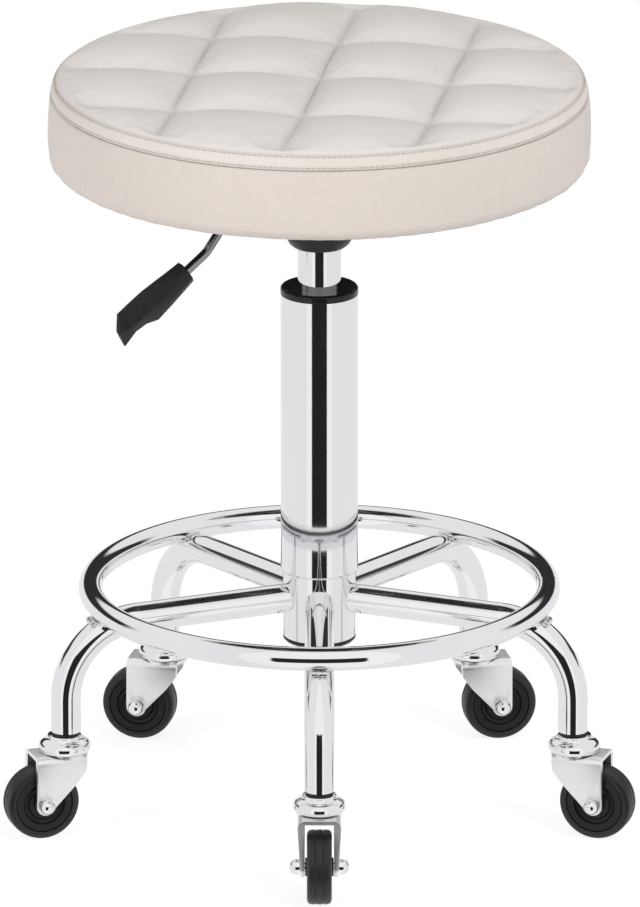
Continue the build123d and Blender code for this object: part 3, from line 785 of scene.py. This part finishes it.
class STOOL_OT_side_panel(bpy.types.Operator):
    """Stretch the side panel round the cushion and under its edge"""

    bl_idname = "stool.side_panel"
    bl_label = "Side panel"

    def execute(self, context):
        settings = context.scene.stool_seat
        top, low = BAND_LOW.z, SIDE_LOW.z - 0.0012
        r = SEAT_RADIUS
        points, faces = lathe(self.profile(r, top, low, settings.side_bulge), 384)
        seam_shades = []
        shaped = []
        for x, y, z in points:
            here = hypot(x, y)
            angle = atan2(y, x)
            share = (top - z) / (top - low)
            soft = noise.noise(Vector((3.2 * cos(angle), 3.2 * sin(angle), z * 40)))
            pull = noise.noise(Vector((28 * cos(angle), 28 * sin(angle), z * 26)))
            near_low = smoothstep(0.55, 1.0, share)
            near_top = 1 - smoothstep(0.0, 0.16, share)
            move = 0.0007 * soft + 0.0009 * pull * near_low + 0.0003 * pull * near_top
            if here < r - 0.02:
                move *= 0.2
            shaped.append(((here + move) * cos(angle), (here + move) * sin(angle), z))
            # painted shade, darkest at the top of the side panel under the band
            seam_shades.append(0.75 * (1 - smoothstep(0.0, 0.035, share)))
        look = leather("side_leather", settings.side_colour, shade(settings.side_colour, 0.96))
        panel = piece("side_panel", shaped, faces, look, "seat", seam_shades)
        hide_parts("side_cover")
        return {"FINISHED"}

    @staticmethod
    def profile(r, top, low, bulge):
        """The panel's section, from the seam down, round the curl, in to the hem and back up inside."""
        steps, curl, leather_gauge = 40, 0.009, 0.0015
        outside = []
        for i in range(steps + 1):
            share = i / steps
            swell = bulge * sin(pi * min(1.0, share / 0.92)) ** 0.75
            tuck = 0.0008 * (1 - smoothstep(0.0, 0.05, share))
            z = top - (top - low) * share
            short = max(0.0, curl - (z - low))
            inward = curl - sqrt(max(0.0, curl**2 - short**2))
            outside.append((r - 0.0026 + swell - tuck - inward, z))
        hem, inner_curl = r - 0.035, r - 0.018
        over = low + leather_gauge
        inside = [(inner_curl, low), (hem, low), (hem, over), (inner_curl, over)]
        inside += [(r - 0.0045, low + 0.006), (r - 0.0024, low + 0.012), (r - 0.0024, top - 0.001)]
        return outside + inside


class STOOL_OT_edge_band(bpy.types.Operator):
    """Sew the narrow band between the top and the side, with its two rows of stitches"""

    bl_idname = "stool.edge_band"
    bl_label = "Edge band"

    def execute(self, context):
        settings = context.scene.stool_seat
        low, high = BAND_LOW.z, BAND_HIGH.z + 0.0006
        r_low, r_high = SEAT_RADIUS - 0.0028, SEAT_RADIUS - 0.0058
        out = Vector((high - low, r_low - r_high)).normalized()
        rows = (0.14, 0.86)  # where the stitches run, as shares of the band's height
        steps = 16
        profile = []
        for i in range(steps + 1):
            share = i / steps
            puff = 0.0011 * sin(pi * share) ** 0.55
            groove = 0.0006 * sum(exp(-(((share - row) / 0.07) ** 2)) for row in rows)
            r = r_low + (r_high - r_low) * share + out.x * (puff - groove)
            z = low + (high - low) * share + out.y * (puff - groove)
            profile.append((r, z))
        profile += [(r_high - 0.0022, high - 0.0012), (r_low - 0.0032, low + 0.0004)]
        points, faces = lathe(profile, 384)
        # painted shade along the band's two seams
        seams = (0, 1, steps - 1, steps)
        seam_shades = [0.75 if i % len(profile) in seams else 0.0 for i in range(len(points))]
        look = leather("band_leather", shade(settings.top_colour, 0.99), settings.side_colour)
        band = piece("edge_band_leather", points, faces, look, "seat", seam_shades)
        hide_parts("edge_band")

        thread_radius, lift, sewn_share = 0.00034, 0.0004, 0.8
        stitches = []
        for share in rows:
            r = r_low + (r_high - r_low) * share + out.x * lift
            z = low + (high - low) * share + out.y * lift
            count = round(tau * r / settings.stitch_pitch)
            for k in range(count):
                first, last = tau * k / count, tau * (k + sewn_share) / count
                start = Vector((r * cos(first), r * sin(first), z))
                end = Vector((r * cos(last), r * sin(last), z))
                middle = (first + last) / 2
                away = Vector((out.x * cos(middle), out.x * sin(middle), out.y))
                stitches.append(stitch(start, end, away, thread_radius))
        points, faces = gather(stitches)
        sewn = piece("edge_stitches", points, faces, thread(shade(settings.side_colour, 0.86)), "seat")
        return {"FINISHED"}


class STOOL_OT_stage(bpy.types.Operator):
    """Lay the floor, hang the lamps and set the camera"""

    bl_idname = "stool.stage"
    bl_label = "Stage"

    def execute(self, context):
        settings = context.scene.stool_stage
        scene = context.scene
        scene.view_settings.view_transform = "Standard"
        self.floor()
        self.world(settings)
        self.lamps(settings)
        self.camera(settings, scene)
        return {"FINISHED"}

    def floor(self):
        """A pale floor that is white to the camera, keeps the shadow and is clear from below."""
        made, g = material("studio_floor")
        at = g.place()
        mottle = g.clouds(at, 3.0, 4.0)
        tone = g.mix(mottle.smooth(0.3, 0.7), (0.86, 0.86, 0.86), (0.9, 0.9, 0.9))
        matt = {"Base Color": tone, "Roughness": 0.9, "Specular IOR Level": 0.0}
        lit = g.node("ShaderNodeBsdfPrincipled", None, matt)
        white = g.node("ShaderNodeEmission", None, {"Color": (1, 1, 1, 1), "Strength": 1.17})
        to_camera = g.node("ShaderNodeLightPath")
        seen = g.node("ShaderNodeMixShader", None, {0: to_camera * 0.72, 1: lit, 2: white})
        below = g.node("ShaderNodeNewGeometry", output=6)
        clear = g.node("ShaderNodeBsdfTransparent")
        closing = g.node("ShaderNodeMixShader", None, {0: below, 1: seen, 2: clear})
        g.node("ShaderNodeOutputMaterial", None, {0: closing})
        far = 30
        points = [(-far, -far, 0), (far, -far, 0), (far, far, 0), (-far, far, 0)]
        mesh = bpy.data.meshes.new("floor")
        mesh.from_pydata(points, [], [(0, 1, 2, 3)])
        mesh.materials.append(made)
        floor = bpy.data.objects.new("floor", mesh)
        floor.visible_glossy = False
        bpy.context.scene.collection.objects.link(floor)

    def world(self, settings):
        """White all round, with a dark patch in front and a dark band behind for the chrome to mirror."""
        world = bpy.data.worlds.new("studio")
        bpy.context.scene.world = world
        world.use_nodes = True
        g = Graph(world.node_tree)
        way = g.node("ShaderNodeTexCoord", output=0)
        x, y, z = (g.node("ShaderNodeSeparateXYZ", None, {0: way}, output=axis) for axis in range(3))
        in_front = y.under(0.0)
        sideways = x.maths("ABSOLUTE") / (y * -1.0).maths("MAXIMUM", 0.0001)
        off_level = (z + 0.115).maths("ABSOLUTE")
        patch = sideways.smooth(0.40, 0.43, 1.0, 0.0) * in_front * off_level.smooth(0.36, 0.40, 1.0, 0.0)
        bright = sideways.smooth(0.75, 0.85, 1.0, 0.0) * in_front
        band = y.smooth(0.1, 0.35) * z.smooth(0.1, 0.16) * z.smooth(0.4, 0.47, 1.0, 0.0)
        seen = g.mix(bright, (0.89, 0.89, 0.90), (1.0, 1.0, 1.0))
        seen = g.mix(patch, seen, (0.02, 0.02, 0.021))
        seen = g.mix(band, seen, (0.03, 0.03, 0.032))
        to_camera = g.node("ShaderNodeLightPath", output=0)
        glossy = g.node("ShaderNodeLightPath", output=3)
        even = g.node("ShaderNodeBackground", None, {0: (1, 1, 1, 1), 1: settings.sky_strength})
        mirrored = g.node("ShaderNodeBackground", None, {0: seen, 1: 1.0})
        white = g.node("ShaderNodeBackground", None, {0: (1, 1, 1, 1), 1: 1.0})
        lit = g.node("ShaderNodeMixShader", None, {0: glossy, 1: even, 2: mirrored})
        shown = g.node("ShaderNodeMixShader", None, {0: to_camera, 1: lit, 2: white})
        g.node("ShaderNodeOutputWorld", None, {0: shown})

    def lamps(self, settings):
        """A large key from the front right and a wider, lower fill from the front left."""
        aim = Vector((0, 0, 0.35))
        for name, place, size, power in (
            ("key", (1.5, -1.9, 2.0), 0.9, settings.key_power),
            ("fill", (-2.4, -1.7, 1.0), 1.2, settings.key_power * 0.8),
        ):
            data = bpy.data.lights.new(name, "AREA")
            data.shape = "DISK"
            data.size = size
            data.energy = power
            lamp = bpy.data.objects.new(name, data)
            lamp.location = place
            lamp.rotation_euler = (Vector(place) - aim).to_track_quat("Z", "Y").to_euler()
            lamp.visible_glossy = False
            bpy.context.scene.collection.objects.link(lamp)

    def camera(self, settings, scene):
        """A long lens, so that the seat and the wheels show at nearly the same angle."""
        data = bpy.data.cameras.new("camera")
        camera = bpy.data.objects.new("camera", data)
        scene.collection.objects.link(camera)
        scene.camera = camera
        pitch = settings.camera_pitch
        target = Vector((0.0004, 0, 0.2405))
        back = Vector((0, -cos(pitch), sin(pitch)))
        camera.location = target + back * settings.camera_distance
        camera.rotation_euler = back.to_track_quat("Z", "Y").to_euler()
        data.sensor_width = 36.0
        data.lens = data.sensor_width * settings.camera_distance / settings.view_height
        data.clip_start = 0.5
        data.clip_end = 100.0


class STOOL_PT_panel(bpy.types.Panel):
    """The stool's settings and steps"""

    bl_idname = "STOOL_PT_panel"
    bl_label = "Rolling stool"
    bl_space_type = "VIEW_3D"
    bl_region_type = "UI"
    bl_category = "Stool"

    def draw(self, context):
        layout = self.layout
        for label, name in (("Seat", "stool_seat"), ("Metal", "stool_metal"), ("Stage", "stool_stage")):
            box = layout.box()
            box.label(text=label)
            group = getattr(context.scene, name)
            for prop in group.__annotations__:
                box.prop(group, prop)
        for step in STEPS:
            layout.operator(step.bl_idname)


SETTINGS = {
    "stool_seat": StoolSeatSettings,
    "stool_metal": StoolMetalSettings,
    "stool_stage": StoolStageSettings,
}
STEPS = (
    STOOL_OT_metalwork,
    STOOL_OT_casters,
    STOOL_OT_lever_grip,
    STOOL_OT_top_panel,
    STOOL_OT_side_panel,
    STOOL_OT_edge_band,
    STOOL_OT_stage,
)
CLASSES = (*SETTINGS.values(), *STEPS, STOOL_PT_panel)


def register():
    for cls in CLASSES:
        bpy.utils.register_class(cls)
    for name, group in SETTINGS.items():
        setattr(bpy.types.Scene, name, PointerProperty(type=group))


def unregister():
    for name in SETTINGS:
        delattr(bpy.types.Scene, name)
    for cls in reversed(CLASSES):
        bpy.utils.unregister_class(cls)


def main():
    register()
    for step in STEPS:
        group, name = step.bl_idname.split(".")
        getattr(getattr(bpy.ops, group), name)()


if __name__ == "__main__":
    main()
